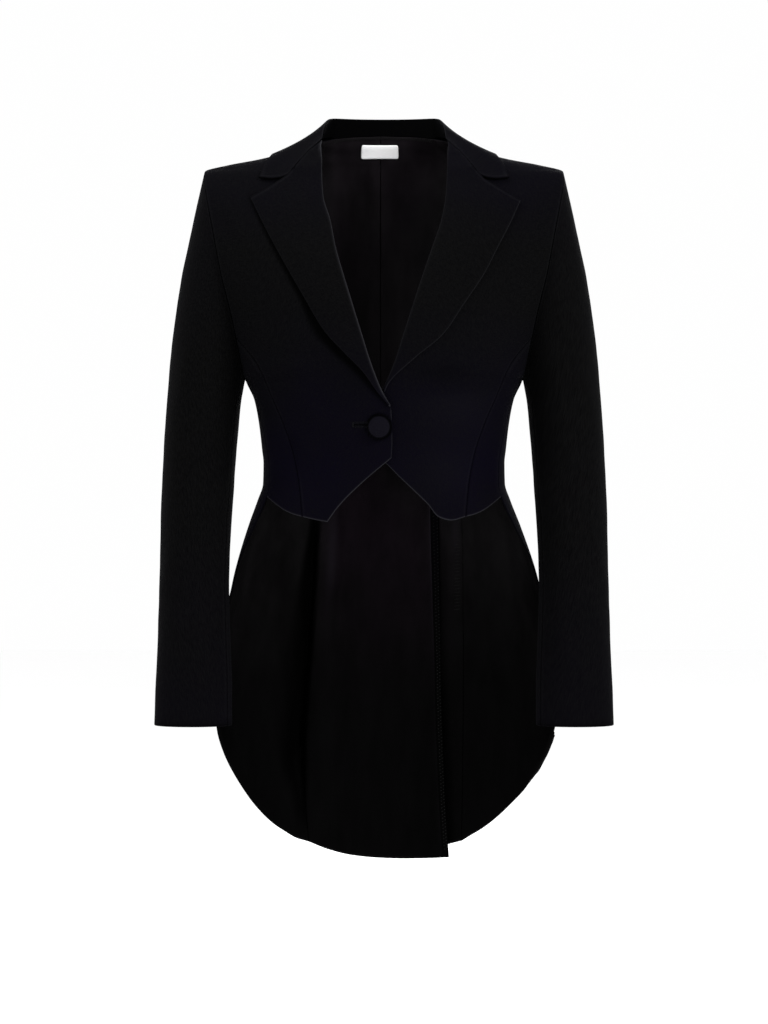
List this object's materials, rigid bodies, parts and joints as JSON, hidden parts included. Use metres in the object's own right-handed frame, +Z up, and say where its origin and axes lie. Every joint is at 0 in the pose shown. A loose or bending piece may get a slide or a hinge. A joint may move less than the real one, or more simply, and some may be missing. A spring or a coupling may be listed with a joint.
{
  "type": "blazer",
  "caption": "Cropped tailcoat-style blazer with notch lapels, a covered waist button, pointed front hems, slim tailored sleeves and a long rounded, vented back tail.",
  "frame": {"origin": "midway between the two shoulder tips, where the wearer's shoulders carry the coat", "axes": "+Z up, +Y towards the back of the garment, +X towards the wearer's left"},
  "size_m": [0.5012, 0.2597, 0.8323],
  "materials": {
    "face_cloth": "matt black wool crepe, fine diagonal weave",
    "satin_lining": "black satin lining with a soft plum sheen",
    "label_tape": "plain white woven tape",
    "button_cloth": "face cloth stretched over a domed button"
  },
  "bodies": {
    "root": {"front_right": "face_cloth", "front_left": "face_cloth", "side_front_right": "face_cloth", "side_front_left": "face_cloth", "side_back_right": "face_cloth", "side_back_left": "face_cloth", "centre_back_right": "face_cloth", "centre_back_left": "face_cloth", "lapel_right": "face_cloth", "lapel_left": "face_cloth", "collar_leaf": "face_cloth", "collar_stand": "face_cloth", "top_sleeve_right": "face_cloth", "under_sleeve_right": "face_cloth", "top_sleeve_left": "face_cloth", "under_sleeve_left": "face_cloth", "lining_centre_back_right": "satin_lining", "lining_centre_back_left": "satin_lining", "lining_side_back_right": "satin_lining", "lining_side_back_left": "satin_lining", "neck_label": "label_tape", "button": "button_cloth"}
  },
  "joints": []
}
